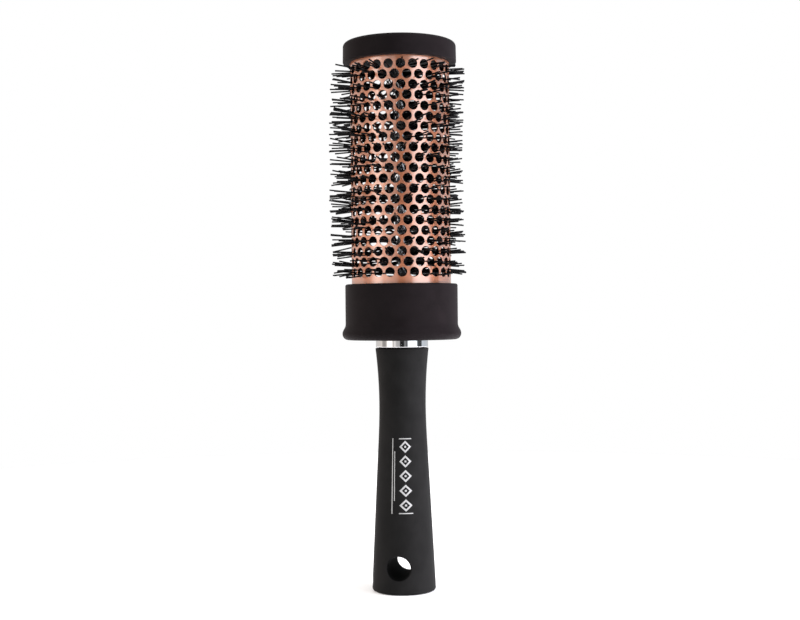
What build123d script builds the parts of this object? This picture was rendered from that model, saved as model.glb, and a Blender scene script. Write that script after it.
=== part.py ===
from build123d import *
import math
import os

# A round barrel brush: a perforated copper-coloured tube with nylon bristles,
# a soft-touch cap and collar at its ends, a chrome ring and a tapered handle.
# The brush's axis is Z, the flat end of the handle is at z = 0, and the
# hanging hole in the handle runs along Y. All sizes are in millimetres.

# Barrel tube
barrel_radius = 21.5
barrel_wall = 0.8
fit_gap = 0.03

# Handle and the chrome ring on its neck
handle_length = 104.8
handle_end_fillet = 1.2
handle_top_fillet = 0.35
# (height, radius): wide at the free end, waisted below the neck
handle_profile = [(0, 13.83), (27.5, 12.48), (55.2, 11.05), (80, 10.07), (93.4, 10.5), (104.8, 11.55)]
hang_hole_z = 11.25
hang_hole_radius = 5.1
hang_hole_fillet = 0.5
ring_gap = 0.3
ring_height = 3.25
ring_radius = 11.3
ring_fillet = 0.35

# Lower collar: a cup that the barrel stands in, flared round its foot
collar_height = 24.05
collar_radius = 24.35
collar_floor = 3.0
flare_radius = 25.75
flare_height = 2.6
flare_blend = 6.85
collar_lip_fillet = 0.8

# End cap
cap_height = 8.9
cap_top = 3.5
cap_radius = 24.6
cap_top_radius = 24.45
cap_top_fillet = 1.7
cap_rim_fillet = 0.8

# Holes and bristles
rows = 21
holes_per_row = 26
hole_radius = 2.05
row_pitch = 4.36
lowest_row = 4.7
row_phase = 12.1
bristle_radius = 0.27
bristle_tip = 29.4
bristle_ramp = 0.8

# The wire core bows a little to one side inside the barrel, so the bristles
# reach further out on that side, most of all at mid-height
bow_angle = -80
bow_at_ends = 0.6
bow_at_middle = 2.0

# Twisted-wire core
strand_count = 2
strand_radius = 0.95
strand_gap = 0.06
twist_pitch = 13.0
core_end_depth = 1.6
core_end_room = 0.5
core_tail_z = 46.0

# Moulded stem and hubs inside
stem_radius = 7.0
stem_bottom = 20.0
hub_height = 6.0
boss_radius = 5.0
boss_height = 4.0

# Heights and radii that follow
ring_bottom = handle_length + ring_gap
collar_bottom = ring_bottom + ring_height
collar_top = collar_bottom + collar_height
barrel_bottom = collar_bottom + collar_floor
bristle_zone = collar_top + lowest_row
overall_length = 236.7
cap_bottom = overall_length - cap_height
barrel_top = overall_length - cap_top
bore_in_tube = barrel_radius - barrel_wall
core_radius = 2 * strand_radius + strand_gap / 2
bristle_root = core_radius + 0.3


def ring_of(outer, inner, bottom, top):
    """A plain tube between two heights."""
    height = top - bottom
    tube = Cylinder(outer, height) - Cylinder(inner, height)
    return Pos(0, 0, (bottom + top) / 2) * tube


def rod(radius, bottom, top):
    """A plain round bar on the brush's axis."""
    return Pos(0, 0, (bottom + top) / 2) * Cylinder(radius, top - bottom)


def edges_at(part, height):
    """The edges that lie at one height."""
    return part.edges().filter_by_position(Axis.Z, height - 0.001, height + 0.001)


def outermost(edges):
    """The widest circle in a group of edges."""
    return edges.sort_by(lambda edge: edge.radius)[-1]


def turned(outline):
    """The solid that a closed outline in the XZ plane sweeps about Z."""
    return revolve(make_face(outline), Axis.Z)


def hole_place(row, number):
    """The outward direction and the height of one hole in the barrel's wall."""
    step = 360 / holes_per_row
    angle = math.radians(row_phase + (number + 0.5 * (row % 2)) * step)
    height = bristle_zone + row * row_pitch
    return Vector(math.sin(angle), -math.cos(angle), 0), height


def handle_grip():
    """The tapered grip, solid round the hanging hole and bored for the stem."""
    side_points = [(radius, 0, height) for height, radius in handle_profile]
    side = Spline(*side_points)
    foot = Line((0, 0, 0), side_points[0])
    head = Line(side_points[-1], (0, 0, handle_length))
    grip = turned(foot + side + head + Line((0, 0, handle_length), (0, 0, 0)))
    grip = fillet(outermost(edges_at(grip, 0)), handle_end_fillet)
    grip = fillet(outermost(edges_at(grip, handle_length)), handle_top_fillet)
    grip -= Pos(0, 0, hang_hole_z) * Rot(90, 0, 0) * Cylinder(hang_hole_radius, 4 * hang_hole_z)
    hole_wall = grip.faces().filter_by(GeomType.CYLINDER)[0]
    grip = fillet(hole_wall.edges().filter_by(GeomType.BSPLINE), hang_hole_fillet)
    return grip - rod(stem_radius + fit_gap, stem_bottom, handle_length)


def stem_and_hub():
    """The stem in the handle, the hub that centres the barrel, and the wire's bore."""
    stem = rod(stem_radius, stem_bottom + fit_gap, barrel_bottom)
    hub = rod(bore_in_tube - fit_gap, barrel_bottom, barrel_bottom + hub_height)
    boss = rod(boss_radius, barrel_bottom + hub_height, barrel_bottom + hub_height + boss_height)
    wire_bore = rod(core_radius + fit_gap, core_tail_z, barrel_bottom + hub_height + boss_height)
    return stem + hub + boss - wire_bore


def chrome_ring():
    """The polished ring between the handle and the collar."""
    ring = ring_of(ring_radius, stem_radius + fit_gap, ring_bottom, collar_bottom)
    ring = fillet(outermost(edges_at(ring, ring_bottom)), ring_fillet)
    return fillet(outermost(edges_at(ring, collar_bottom)), ring_fillet)


def lower_collar():
    """The cup round the foot of the barrel, flaring to a rounded foot."""
    floor_edge = flare_radius - flare_height
    foot = Line((0, 0, collar_bottom), (floor_edge, 0, collar_bottom))
    widest = (flare_radius, 0, collar_bottom + flare_height)
    rounding = TangentArc(foot @ 1, widest, tangent=(1, 0, 0))
    neck = (collar_radius, 0, collar_bottom + flare_blend)
    blend = Spline(widest, neck, tangents=[(0, 0, 1), (0, 0, 1)])
    wall = Line(neck, (collar_radius, 0, collar_top))
    lip = Line((collar_radius, 0, collar_top), (0, 0, collar_top))
    axis_line = Line((0, 0, collar_top), (0, 0, collar_bottom))
    collar = turned(foot + rounding + blend + wall + lip + axis_line)
    collar = fillet(outermost(edges_at(collar, collar_top)), collar_lip_fillet)
    socket = rod(barrel_radius + fit_gap, barrel_bottom, collar_top)
    return collar - socket - rod(stem_radius + fit_gap, collar_bottom, barrel_bottom)


def barrel_tube():
    """The thin tube with staggered rows of round holes."""
    tube = ring_of(barrel_radius, bore_in_tube, barrel_bottom, barrel_top)
    punches = []
    for row in range(rows):
        for number in range(holes_per_row):
            outward, height = hole_place(row, number)
            start = outward * (barrel_radius - 2 * barrel_wall) + Vector(0, 0, height)
            punches.append(Solid.make_cylinder(hole_radius, 3 * barrel_wall, Plane(start, z_dir=outward)))
    return tube - punches


def end_hub():
    """The plug in the top of the barrel that holds the wire's tip."""
    hub = rod(bore_in_tube - fit_gap, cap_bottom, barrel_top)
    return hub - rod(core_radius + fit_gap, cap_bottom, barrel_top - core_end_depth)


def end_cap():
    """The flat-topped cap whose skirt goes over the barrel's end."""
    rim = (cap_radius, 0, cap_bottom)
    shoulder = (cap_top_radius, 0, overall_length)
    outline = Polyline((0, 0, cap_bottom), rim, shoulder, (0, 0, overall_length), close=True)
    cap = turned(outline)
    cap = fillet(outermost(edges_at(cap, overall_length)), cap_top_fillet)
    cap = fillet(outermost(edges_at(cap, cap_bottom)), cap_rim_fillet)
    return cap - rod(barrel_radius + fit_gap, cap_bottom, barrel_top)


def core_strand(number):
    """One wire of the twisted core, turning left-handed about the axis."""
    bottom = core_tail_z + core_end_room
    height = barrel_top - core_end_depth - core_end_room - bottom
    path = Helix(twist_pitch, height, strand_radius + strand_gap / 2, lefthand=True)
    section = Plane(path @ 0, z_dir=path % 0) * Circle(strand_radius)
    wire = sweep(section, path, is_frenet=True)
    return Pos(0, 0, bottom) * Rot(0, 0, 360 * number / strand_count) * wire


def bristle_reach(outward, row):
    """How far from the brush's axis a bristle's tip is."""
    bow_radians = math.radians(bow_angle)
    bow_side = Vector(math.sin(bow_radians), -math.cos(bow_radians), 0)
    middle_share = math.sin(math.pi * row / (rows - 1))
    bow = bow_at_ends + (bow_at_middle - bow_at_ends) * middle_share
    return bristle_tip + bow * outward.dot(bow_side)


def bristle_row(row):
    """One straight bristle through each hole of a row, rooted on the core's spiral."""
    bristles = []
    for number in range(holes_per_row):
        outward, height = hole_place(row, number)
        rise = (number / holes_per_row - 0.5) * row_pitch * bristle_ramp
        root = outward * bristle_root + Vector(0, 0, height + rise)
        eye = outward * barrel_radius + Vector(0, 0, height)
        lean = (eye - root).normalized()
        length = (bristle_reach(outward, row) - bristle_root) / lean.dot(outward)
        bristles.append(Solid.make_cylinder(bristle_radius, length, Plane(root, z_dir=lean)))
    return Compound(bristles)


nodes = {
    "handle_grip": handle_grip(),
    "stem_and_hub": stem_and_hub(),
    "chrome_ring": chrome_ring(),
    "lower_collar": lower_collar(),
    "barrel_tube": barrel_tube(),
    "end_hub": end_hub(),
    "end_cap": end_cap(),
}
for strand in range(strand_count):
    nodes[f"core_wire_{strand + 1}"] = core_strand(strand)
for row in range(rows):
    nodes[f"bristle_row_{row + 1:02d}"] = bristle_row(row)

os.makedirs("parts", exist_ok=True)
for name, shape in nodes.items():
    export_step(shape, f"parts/{name}.step")
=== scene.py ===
import math
import random

import bpy
from mathutils import Matrix, Vector
from mathutils.bvhtree import BVHTree


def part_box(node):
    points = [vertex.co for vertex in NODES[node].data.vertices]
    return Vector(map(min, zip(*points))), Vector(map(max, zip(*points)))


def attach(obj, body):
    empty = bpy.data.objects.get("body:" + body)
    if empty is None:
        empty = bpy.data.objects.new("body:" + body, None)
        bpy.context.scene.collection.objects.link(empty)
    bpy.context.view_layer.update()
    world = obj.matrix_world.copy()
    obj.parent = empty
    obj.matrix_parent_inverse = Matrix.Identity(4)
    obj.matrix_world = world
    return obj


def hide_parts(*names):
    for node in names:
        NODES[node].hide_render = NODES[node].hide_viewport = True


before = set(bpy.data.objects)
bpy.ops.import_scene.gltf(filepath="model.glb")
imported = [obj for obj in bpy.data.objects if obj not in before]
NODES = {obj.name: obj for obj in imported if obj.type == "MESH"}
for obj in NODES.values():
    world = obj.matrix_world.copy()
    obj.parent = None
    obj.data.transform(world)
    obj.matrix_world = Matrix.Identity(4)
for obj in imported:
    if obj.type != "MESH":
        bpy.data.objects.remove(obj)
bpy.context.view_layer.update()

MM = 0.001

# The barrel's pattern of holes, as in the CAD model, and the filaments that come out of them
ROWS = 21
HOLES_PER_ROW = 26
ROW_PHASE = 12.1
HOLE_RADIUS = 2.05 * MM
BARREL_RADIUS = 21.5 * MM
BRISTLE_RADIUS = 0.34 * MM
LEAN_ROOM = 0.3 * MM        # what a leaning filament needs beside it in the wall's thickness
TIP_RADIUS = 29.3 * MM
CORE_RADIUS = 1.5 * MM
BOW_ANGLE = math.radians(-80)
BOW_AT_ENDS = 0.6 * MM
BOW_AT_MIDDLE = 2.0 * MM
TWIST_PITCH = 13.0 * MM

# How the filaments differ from one another; a spread is a standard deviation
FILAMENTS_A_HOLE = ((1, 2, 3), (40, 42, 18))      # numbers of filaments, and their odds
ROOT_SPREAD = 0.35 * MM
ROOT_TURN_SPREAD = 0.12
LEAN_SHARE = 0.4            # how much of the root's height above its hole a filament keeps in the hole
LIFT_SPREAD = 0.7 * MM
SAG_SPREAD = 0.2 * MM
TIP_SPREAD = 0.3 * MM
FULL_LENGTH_SHARE = 0.78    # filaments cut to within a millimetre of full length
FILAMENT_SIDES = 6

# Where the hanging hole's wall is, painted near-black as shade; its radius is a hair more than the CAD
# model's
HANG_HOLE_HEIGHT = 11.25 * MM
HANG_HOLE_RADIUS = 5.15 * MM

# Where the printed device sits on the grip
PRINT_ANGLE = math.radians(10)
PRINT_RADIUS = 11.0 * MM
PRINT_LIFT = 0.02 * MM
PRINT_GRID = (9, 12)        # cells across and along each stroke

# The camera stands a little to the right of the hanging hole's axis
CAMERA_DISTANCE = 0.564
CAMERA_AZIMUTH = 11.0
CAMERA_HEIGHT = 120.3 * MM
CAMERA_LENS = 58.5
CAMERA_ROLL = -0.53
CAMERA_SHIFT = (-0.0021, 0.0025)

# The studio's brightness round the brush: (degrees to the right of the camera, level)
STUDIO = [(-180, 0.36), (-100, 0.42), (-96, 0.25), (-92, 0.19), (-80, 0.19), (-74, 0.26), (-66, 0.8),
          (-60, 1.0), (-47, 0.95), (-42, 0.5), (-38, 0.24), (-35, 0.5), (-28, 0.44), (-24, 0.27),
          (-10, 0.26), (-8, 0.01), (8, 0.01), (11, 0.14), (17, 0.14), (19, 0.06), (23, 0.1), (27, 0.62),
          (33, 1.0), (40, 1.15), (65, 1.1), (70, 0.4), (74, 0.05), (95, 0.03), (100, 0.4), (140, 0.36),
          (180, 0.36)]
CEILING = 0.9      # the brightness overhead and underfoot
TINT = 0.075       # how much warmer the left of the studio is, and cooler the right
ROOM_STRENGTH = 1.7
FLOOR_GLOW = 0.15
FLOOR_DROP = 0.05 * MM      # keeps the floor clear of the handle's flat end
FLOOR_RADIUS = 0.55
FLOOR_SIDES = 96
LAMP_DISTANCE = 0.8
LAMP_HEIGHT = 0.2
LAMP_SIZE = 0.45
MIDDLE = Vector((0, 0, 0.12))


# ---------------------------------------------------------------- materials

def new_material(name):
    """A material with a Principled shader, its node tree and a helper position."""
    material = bpy.data.materials.new(name)
    material.use_nodes = True
    tree = material.node_tree
    return material, tree, tree.nodes["Principled BSDF"]


def add(tree, kind, **values):
    """A node with its properties and input values set."""
    node = tree.nodes.new(kind)
    for key, value in values.items():
        if hasattr(node, key):
            setattr(node, key, value)
        else:
            node.inputs[key.replace("_", " ")].default_value = value
    return node


def noise(tree, scale, detail=2.0, stretch=None):
    """Noise in object space, its grains stretched by the given three factors."""
    texture = add(tree, "ShaderNodeTexNoise", Scale=scale, Detail=detail)
    place = add(tree, "ShaderNodeTexCoord")
    source = place.outputs["Object"]
    if stretch:
        mapping = add(tree, "ShaderNodeMapping")
        mapping.inputs["Scale"].default_value = stretch
        tree.links.new(source, mapping.inputs["Vector"])
        source = mapping.outputs["Vector"]
    tree.links.new(source, texture.inputs["Vector"])
    return texture.outputs["Fac"]


def ramp(tree, source, stops):
    """A colour ramp over a source value; stops are (position, colour)."""
    node = add(tree, "ShaderNodeValToRGB")
    elements = node.color_ramp.elements
    while len(elements) < len(stops):
        elements.new(0.5)
    for element, (position, colour) in zip(elements, stops):
        element.position = position
        element.color = (*colour, 1.0)
    tree.links.new(source, node.inputs["Fac"])
    return node.outputs["Color"]


def spread(tree, source, low, high):
    """A value that goes from low to high as the source goes from 0.3 to 0.7."""
    node = add(tree, "ShaderNodeMapRange")
    node.inputs["From Min"].default_value = 0.3
    node.inputs["From Max"].default_value = 0.7
    node.inputs["To Min"].default_value = low
    node.inputs["To Max"].default_value = high
    tree.links.new(source, node.inputs["Value"])
    return node.outputs["Result"]


def blend(tree, kind, share, first, second):
    """The first value or colour where the share is 0, the second where it is 1."""
    node = add(tree, "ShaderNodeMix", data_type=kind)
    sockets = [socket for socket in node.inputs if socket.enabled]
    tree.links.new(share, sockets[0])
    for socket, value in zip(sockets[1:], (first, second)):
        if isinstance(value, bpy.types.NodeSocket):
            tree.links.new(value, socket)
        else:
            socket.default_value = value
    return next(socket for socket in node.outputs if socket.enabled)


def bump(tree, shader, source, height, strength=1.0):
    """Bump of a real height, in metres, on the shader."""
    node = add(tree, "ShaderNodeBump", Strength=strength, Distance=height)
    tree.links.new(source, node.inputs["Height"])
    tree.links.new(node.outputs["Normal"], shader.inputs["Normal"])


def soft_touch(name, low, high, specular):
    """Satin rubberised black, finely grained and mottled, with a rougher wall in the hanging hole whose
    near-black colour is painted shade.
    """
    material, tree, shader = new_material(name)
    mottle = noise(tree, 140.0, 3.0)
    grain = noise(tree, 5200.0, 1.0)
    in_hole = hanging_hole(tree)
    coated = ramp(tree, mottle, [(0.35, low), (0.68, high)])
    # The hanging hole's wall gets a near-black colour: painted shade in the recess
    colour = blend(tree, "RGBA", in_hole, coated, (0.002, 0.002, 0.002, 1))
    tree.links.new(colour, shader.inputs["Base Color"])
    satin = spread(tree, mottle, 0.5, 0.6)
    tree.links.new(blend(tree, "FLOAT", in_hole, satin, 0.9), shader.inputs["Roughness"])
    shader.inputs["Specular IOR Level"].default_value = specular
    shader.inputs["Sheen Weight"].default_value = 0.01
    shader.inputs["Sheen Roughness"].default_value = 0.4
    bump(tree, shader, grain, 0.00002, 0.35)
    return material


def compare_radius(tree, centre, across, operation, radius):
    """1 or 0, from comparing a point's distance from an axis with a radius."""
    place = add(tree, "ShaderNodeTexCoord")
    offset = add(tree, "ShaderNodeVectorMath", operation="SUBTRACT")
    offset.inputs[1].default_value = centre
    tree.links.new(place.outputs["Object"], offset.inputs[0])
    flat = add(tree, "ShaderNodeVectorMath", operation="MULTIPLY")
    flat.inputs[1].default_value = across
    tree.links.new(offset.outputs["Vector"], flat.inputs[0])
    length = add(tree, "ShaderNodeVectorMath", operation="LENGTH")
    tree.links.new(flat.outputs["Vector"], length.inputs[0])
    result = add(tree, "ShaderNodeMath", operation=operation)
    result.inputs[1].default_value = radius
    tree.links.new(length.outputs["Value"], result.inputs[0])
    return result.outputs["Value"]


def beyond_radius(tree, radius):
    """1 where a point is farther than a radius from the brush's axis, else 0."""
    return compare_radius(tree, (0, 0, 0), (1, 1, 0), "GREATER_THAN", radius)


def hanging_hole(tree):
    """1 on the wall of the hanging hole, where the black is painted near-black as shade, else 0."""
    return compare_radius(tree, (0, 0, HANG_HOLE_HEIGHT), (1, 0, 1), "LESS_THAN", HANG_HOLE_RADIUS)


def copper():
    """Anodised, finely lathe-turned copper-coloured aluminium, its inner wall painted dark as shade."""
    material, tree, shader = new_material("copper_anodised")
    turning = noise(tree, 900.0, 2.0, stretch=(0.05, 0.05, 4.0))
    mottle = noise(tree, 90.0, 3.0)
    outside = ramp(tree, mottle, [(0.3, (0.79, 0.292, 0.148)), (0.7, (0.85, 0.342, 0.185))])
    # The inner wall's very dark copper is painted shade inside the tube
    inside = ramp(tree, mottle, [(0.3, (0.06, 0.024, 0.017)), (0.7, (0.10, 0.042, 0.030))])
    is_outside = beyond_radius(tree, BARREL_RADIUS - 0.25 * MM)
    tree.links.new(blend(tree, "RGBA", is_outside, inside, outside), shader.inputs["Base Color"])
    shader.inputs["Metallic"].default_value = 1.0
    tree.links.new(is_outside, shader.inputs["Coat Weight"])
    shader.inputs["Coat IOR"].default_value = 3.0
    shader.inputs["Coat Roughness"].default_value = 0.17
    tree.links.new(spread(tree, turning, 0.5, 0.6), shader.inputs["Roughness"])
    bump(tree, shader, turning, 0.000004, 0.25)
    return material


def chrome():
    """Polished chrome plate with faint handling marks."""
    material, tree, shader = new_material("chrome_polished")
    marks = noise(tree, 600.0, 4.0, stretch=(1.0, 1.0, 0.2))
    colour = ramp(tree, marks, [(0.3, (0.82, 0.82, 0.835)), (0.7, (0.89, 0.89, 0.9))])
    tree.links.new(colour, shader.inputs["Base Color"])
    shader.inputs["Metallic"].default_value = 1.0
    tree.links.new(spread(tree, marks, 0.03, 0.08), shader.inputs["Roughness"])
    return material


def steel_wire():
    """Galvanised drawn wire, with darker streaks along it."""
    material, tree, shader = new_material("steel_wire")
    streaks = noise(tree, 700.0, 3.0)
    colour = ramp(tree, streaks, [(0.3, (0.3, 0.31, 0.33)), (0.7, (0.68, 0.7, 0.74))])
    tree.links.new(colour, shader.inputs["Base Color"])
    shader.inputs["Metallic"].default_value = 1.0
    tree.links.new(spread(tree, streaks, 0.2, 0.34), shader.inputs["Roughness"])
    return material


def nylon():
    """Glossy black nylon filament."""
    material, tree, shader = new_material("black_nylon")
    tone = noise(tree, 260.0, 2.0)
    colour = ramp(tree, tone, [(0.3, (0.0012, 0.0012, 0.0015)), (0.7, (0.003, 0.003, 0.004))])
    tree.links.new(colour, shader.inputs["Base Color"])
    tree.links.new(spread(tree, tone, 0.24, 0.4), shader.inputs["Roughness"])
    shader.inputs["Specular IOR Level"].default_value = 0.12
    return material


def moulded():
    """Plain black moulded plastic of the hidden hubs."""
    material, tree, shader = new_material("black_moulded")
    grain = noise(tree, 1500.0, 2.0)
    colour = ramp(tree, grain, [(0.3, (0.012, 0.012, 0.013)), (0.7, (0.022, 0.022, 0.023))])
    tree.links.new(colour, shader.inputs["Base Color"])
    shader.inputs["Roughness"].default_value = 0.45
    bump(tree, shader, grain, 0.00003, 0.3)
    return material


def silver_print():
    """Matt silver ink with a fine pigment speckle."""
    material, tree, shader = new_material("silver_print")
    speckle = noise(tree, 6000.0, 2.0)
    colour = ramp(tree, speckle, [(0.3, (0.36, 0.36, 0.36)), (0.7, (0.52, 0.52, 0.52))])
    tree.links.new(colour, shader.inputs["Base Color"])
    shader.inputs["Metallic"].default_value = 0.25
    shader.inputs["Roughness"].default_value = 0.5
    return material


# ---------------------------------------------------------------- pieces

def finish_piece(name, verts, faces, material, smooth=True):
    """A mesh object that rides on the one body and takes its finish from a slot."""
    mesh = bpy.data.meshes.new(name)
    mesh.from_pydata(verts, [], faces)
    mesh.update()
    for polygon in mesh.polygons:
        polygon.use_smooth = smooth
    mesh.materials.append(material)
    piece = bpy.data.objects.new(name, mesh)
    bpy.context.scene.collection.objects.link(piece)
    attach(piece, "root")
    return piece


def polar(radius, angle, height):
    """The point at an angle from -Y towards +X."""
    return Vector((radius * math.sin(angle), -radius * math.cos(angle), height))


def add_filament(verts, faces, points, radius):
    """A many-sided filament along the points, cut square at both ends."""
    sides = FILAMENT_SIDES
    base = len(verts)
    direction = (points[-1] - points[0]).normalized()
    side = direction.cross(Vector((0, 0, 1))).normalized()
    up = side.cross(direction).normalized()
    for point in points:
        for number in range(sides):
            turn = 2 * math.pi * number / sides
            verts.append(point + radius * (math.cos(turn) * side + math.sin(turn) * up))
    for ring in range(len(points) - 1):
        for number in range(sides):
            a = base + ring * sides + number
            b = base + ring * sides + (number + 1) % sides
            faces.append((a, b, b + sides, a + sides))
    faces.append(tuple(base + number for number in reversed(range(sides))))
    last = base + (len(points) - 1) * sides
    faces.append(tuple(last + number for number in range(sides)))


def nearest_ramp(height, angle):
    """Where the core's spiral of filaments passes an angle, nearest to a height."""
    half = TWIST_PITCH / 2
    offset = -angle / math.pi * half
    return offset + half * round((height - offset) / half)


def bow_at(row):
    """How far the core, and so the tips, stand to one side at a row."""
    share = math.sin(math.pi * row / (ROWS - 1))
    return polar(BOW_AT_ENDS + (BOW_AT_MIDDLE - BOW_AT_ENDS) * share, BOW_ANGLE, 0)


def filament_path(row, angle, hole_height, chance):
    """One filament's points: core, half-way, hole, half-way out, tip."""
    bow = bow_at(row)
    root_height = nearest_ramp(hole_height, angle) + chance.gauss(0, ROOT_SPREAD)
    root = polar(CORE_RADIUS, angle + chance.gauss(0, ROOT_TURN_SPREAD), root_height) + bow
    room = HOLE_RADIUS - BRISTLE_RADIUS - LEAN_ROOM
    lift = (root_height - hole_height) * LEAN_SHARE + chance.gauss(0, LIFT_SPREAD)
    lift = max(-room, min(room, lift))
    swing = math.sqrt(max(0, room ** 2 - lift ** 2)) * chance.uniform(-0.9, 0.9)
    eye = polar(BARREL_RADIUS, angle + swing / BARREL_RADIUS, hole_height + lift)
    is_full = chance.random() < FULL_LENGTH_SHARE
    short = chance.triangular(0, 1.0, 0.1) if is_full else chance.uniform(1.0, 4.0)
    outward = polar(1, angle, 0)
    reach = TIP_RADIUS + bow.dot(outward) - short * MM
    lean = (eye - root).normalized()
    tip = eye + lean * (reach - BARREL_RADIUS) / max(0.9, lean.dot(outward))
    tip += polar(chance.gauss(0, TIP_SPREAD), angle + math.pi / 2, chance.gauss(0, TIP_SPREAD))
    middle = root.lerp(eye, 0.5) + Vector((0, 0, chance.gauss(0, SAG_SPREAD)))
    return [root, middle, eye, eye.lerp(tip, 0.5), tip]


def bristle_row(row, material):
    """The filaments that one ring of holes lets out, one to three a hole."""
    low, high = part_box(f"bristle_row_{row + 1:02d}")
    hole_height = (low.z + high.z) / 2
    chance = random.Random(1000 + row)
    verts, faces = [], []
    for number in range(HOLES_PER_ROW):
        angle = math.radians(ROW_PHASE + (number + 0.5 * (row % 2)) * 360 / HOLES_PER_ROW)
        for _ in range(chance.choices(*FILAMENTS_A_HOLE)[0]):
            add_filament(verts, faces, filament_path(row, angle, hole_height, chance), BRISTLE_RADIUS)
    piece = finish_piece(f"filaments_{row + 1:02d}", verts, faces, material)
    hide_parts(f"bristle_row_{row + 1:02d}")


def rim_of(base, across, along):
    """The outer points of a grid of cells, in order round it."""
    wide = across + 1
    bottom = [base + column for column in range(across)]
    right = [base + line * wide + across for line in range(along)]
    top = [base + along * wide + column for column in range(across, 0, -1)]
    left = [base + line * wide for line in range(along, 0, -1)]
    return bottom + right + top + left


def print_on(node, name, shapes, material):
    """A closed film of ink on a turned piece; a shape is four corners, (millimetres round, height)."""
    mesh = NODES[node].data
    tree = BVHTree.FromPolygons([v.co for v in mesh.vertices], [p.vertices for p in mesh.polygons])
    across, along = PRINT_GRID
    layer = (across + 1) * (along + 1)
    verts, faces = [], []
    for shape in shapes:
        corners = [Vector(corner) for corner in shape]
        base = len(verts)
        for lift in (PRINT_LIFT, -PRINT_LIFT):
            for line in range(along + 1):
                left = corners[0].lerp(corners[3], line / along)
                right = corners[1].lerp(corners[2], line / along)
                for column in range(across + 1):
                    spot = left.lerp(right, column / across) * MM
                    outward = polar(1, PRINT_ANGLE + spot.x / PRINT_RADIUS, 0)
                    start = 2 * PRINT_RADIUS * outward + Vector((0, 0, spot.y))
                    verts.append(tree.ray_cast(start, -outward)[0] + lift * outward)
        for line in range(along):
            for column in range(across):
                corner = base + line * (across + 1) + column
                cell = (corner, corner + 1, corner + across + 2, corner + across + 1)
                faces.append(cell)
                faces.append(tuple(layer + number for number in reversed(cell)))
        rim = rim_of(base, across, along)
        for here, there in zip(rim, rim[1:] + rim[:1]):
            faces.append((there, here, here + layer, there + layer))
    finish_piece(name, verts, faces, material, smooth=False)


def bar(left, bottom, right, top):
    """An upright rectangle of ink."""
    return [(left, bottom), (right, bottom), (right, top), (left, top)]


def lozenge(middle, height, half_width, half_height, share):
    """An open lozenge's four strokes, each between the outer outline and a smaller one inside it."""
    outline = [(half_width, 0), (0, half_height), (-half_width, 0), (0, -half_height)]
    outer = [(middle + across, height + up) for across, up in outline]
    inner = [(middle + across * share, height + up * share) for across, up in outline]
    return [[outer[n], outer[(n + 1) % 4], inner[(n + 1) % 4], inner[n]] for n in range(4)]


def ornament():
    """A plain device in place of lettering: two rules beside a chain of lozenges and bars."""
    shapes = [bar(-4.6, 34.5, -4.25, 66.5), bar(-3.6, 40.0, -3.3, 61.0)]
    for number in range(5):
        height = 38.1 + 6.2 * number
        shapes += lozenge(1.2, height, 2.6, 2.6, 0.62)
        shapes.append(bar(0.8, height - 0.4, 1.6, height + 0.4))
    for height in (34.5, 66.1):
        shapes.append(bar(-1.6, height, 4.0, height + 0.4))
    return shapes


# ---------------------------------------------------------------- looks

black = soft_touch("soft_touch_black", (0.0105, 0.0103, 0.0103), (0.0135, 0.0132, 0.0132), 0.03)
plum_black = soft_touch("soft_touch_plum_black", (0.0070, 0.0052, 0.0058), (0.0092, 0.0069, 0.0077), 0.06)
moulding = moulded()
wire = steel_wire()
finishes = {
    "handle_grip": black,
    "lower_collar": plum_black,
    "end_cap": plum_black,
    "barrel_tube": copper(),
    "chrome_ring": chrome(),
    "stem_and_hub": moulding,
    "end_hub": moulding,
    "core_wire_1": wire,
    "core_wire_2": wire,
}
for node, material in finishes.items():
    for slot in NODES[node].material_slots:
        slot.material = material

filament = nylon()
for row in range(ROWS):
    bristle_row(row, filament)

print_on("handle_grip", "printed_device", ornament(), silver_print())


# ---------------------------------------------------------------- stage

def make_stage():
    """A pale floor that runs out to the white of the surroundings."""
    mesh = bpy.data.meshes.new("floor")
    turn = 2 * math.pi / FLOOR_SIDES
    ring = [polar(FLOOR_RADIUS, turn * number, -FLOOR_DROP) for number in range(FLOOR_SIDES)]
    mesh.from_pydata(ring, [], [tuple(range(FLOOR_SIDES))])
    material, tree, shader = new_material("floor_white")
    shader.inputs["Base Color"].default_value = (0.9, 0.9, 0.9, 1)
    shader.inputs["Roughness"].default_value = 0.9
    shader.inputs["Emission Color"].default_value = (1, 1, 1, 1)
    shader.inputs["Emission Strength"].default_value = FLOOR_GLOW
    mesh.materials.append(material)
    floor = bpy.data.objects.new("floor", mesh)
    bpy.context.scene.collection.objects.link(floor)


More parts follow.
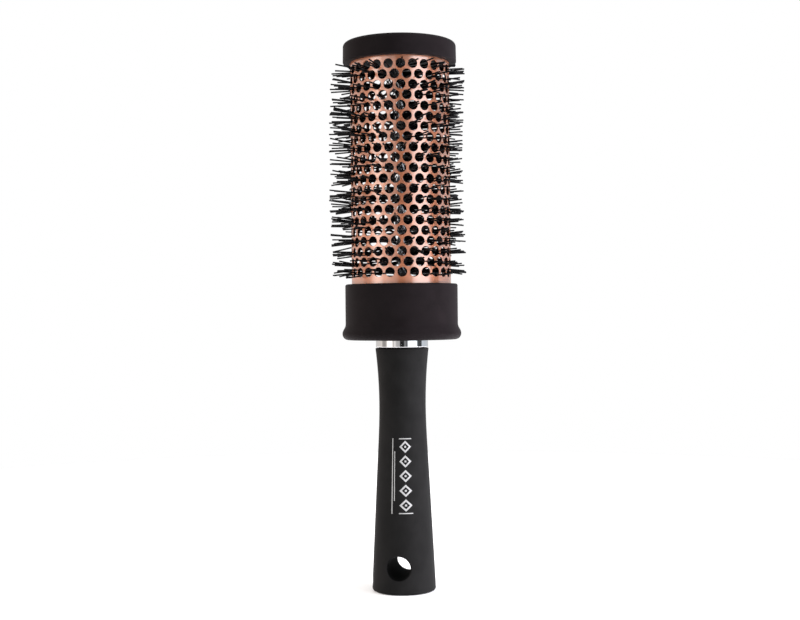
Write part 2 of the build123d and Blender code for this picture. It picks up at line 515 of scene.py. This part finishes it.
def make_world():
    """White to the eye; to everything else, a studio of soft boxes and dark flags by azimuth."""
    world = bpy.data.worlds.new("studio")
    bpy.context.scene.world = world
    world.use_nodes = True
    tree = world.node_tree
    link = tree.links.new
    place = add(tree, "ShaderNodeTexCoord")
    turn = add(tree, "ShaderNodeMapping")
    turn.inputs["Rotation"].default_value = (0, 0, -math.radians(CAMERA_AZIMUTH))
    link(place.outputs["Generated"], turn.inputs["Vector"])
    split = add(tree, "ShaderNodeSeparateXYZ")
    link(turn.outputs["Vector"], split.inputs["Vector"])
    away = add(tree, "ShaderNodeMath", operation="MULTIPLY")
    away.inputs[1].default_value = -1
    link(split.outputs["Y"], away.inputs[0])
    azimuth = add(tree, "ShaderNodeMath", operation="ARCTAN2")
    link(split.outputs["X"], azimuth.inputs[0])
    link(away.outputs["Value"], azimuth.inputs[1])
    share = add(tree, "ShaderNodeMapRange")
    share.inputs["From Min"].default_value = -math.pi
    share.inputs["From Max"].default_value = math.pi
    link(azimuth.outputs["Value"], share.inputs["Value"])
    stops = []
    for angle, level in STUDIO:
        warmth = -TINT * math.sin(math.radians(angle))
        stops.append(((angle + 180) / 360, (level * (1 + warmth), level, level * (1 - warmth))))
    around = ramp(tree, share.outputs["Result"], stops)
    height = add(tree, "ShaderNodeMath", operation="ABSOLUTE")
    link(split.outputs["Z"], height.inputs[0])
    fade = add(tree, "ShaderNodeMapRange", interpolation_type="SMOOTHSTEP")
    fade.inputs["From Min"].default_value = 0.62
    fade.inputs["From Max"].default_value = 0.85
    link(height.outputs["Value"], fade.inputs["Value"])
    room = tree.nodes["Background"]
    level = blend(tree, "RGBA", fade.outputs["Result"], around, (CEILING, CEILING, CEILING, 1))
    link(level, room.inputs["Color"])
    room.inputs["Strength"].default_value = ROOM_STRENGTH
    white = add(tree, "ShaderNodeBackground", Color=(1, 1, 1, 1), Strength=1.0)
    path = add(tree, "ShaderNodeLightPath")
    choose = add(tree, "ShaderNodeMixShader")
    link(path.outputs["Is Camera Ray"], choose.inputs["Fac"])
    link(room.outputs["Background"], choose.inputs[1])
    link(white.outputs["Background"], choose.inputs[2])
    link(choose.outputs["Shader"], tree.nodes["World Output"].inputs["Surface"])


def make_lamp(name, azimuth, power, colour):
    """A soft lamp that fills the matt surfaces from one side and mirrors in nothing."""
    data = bpy.data.lights.new(name, "AREA")
    data.shape = "DISK"
    data.size = LAMP_SIZE
    data.energy = power
    data.color = colour
    lamp = bpy.data.objects.new(name, data)
    lamp.location = polar(LAMP_DISTANCE, math.radians(CAMERA_AZIMUTH + azimuth), LAMP_HEIGHT)
    lamp.rotation_euler = (MIDDLE - lamp.location).to_track_quat("-Z", "Y").to_euler()
    lamp.visible_glossy = False
    lamp.visible_camera = False
    bpy.context.scene.collection.objects.link(lamp)


def make_camera():
    """The camera of the rest view, level with the middle of the brush."""
    data = bpy.data.cameras.new("camera")
    data.lens = CAMERA_LENS
    data.sensor_width = 36.0
    data.shift_x, data.shift_y = CAMERA_SHIFT
    camera = bpy.data.objects.new("camera", data)
    angle = math.radians(CAMERA_AZIMUTH)
    camera.location = (CAMERA_DISTANCE * math.sin(angle), -CAMERA_DISTANCE * math.cos(angle), CAMERA_HEIGHT)
    aim = Matrix.Rotation(angle, 4, "Z") @ Matrix.Rotation(math.pi / 2, 4, "X")
    camera.rotation_euler = (aim @ Matrix.Rotation(math.radians(CAMERA_ROLL), 4, "Z")).to_euler()
    bpy.context.scene.collection.objects.link(camera)
    bpy.context.scene.camera = camera


bpy.context.scene.view_settings.view_transform = "Standard"
make_stage()
make_world()
make_lamp("lamp_right", 80, 18.0, (0.95, 0.93, 1.0))
make_lamp("lamp_left", -110, 5.0, (1.0, 0.86, 0.8))
make_camera()
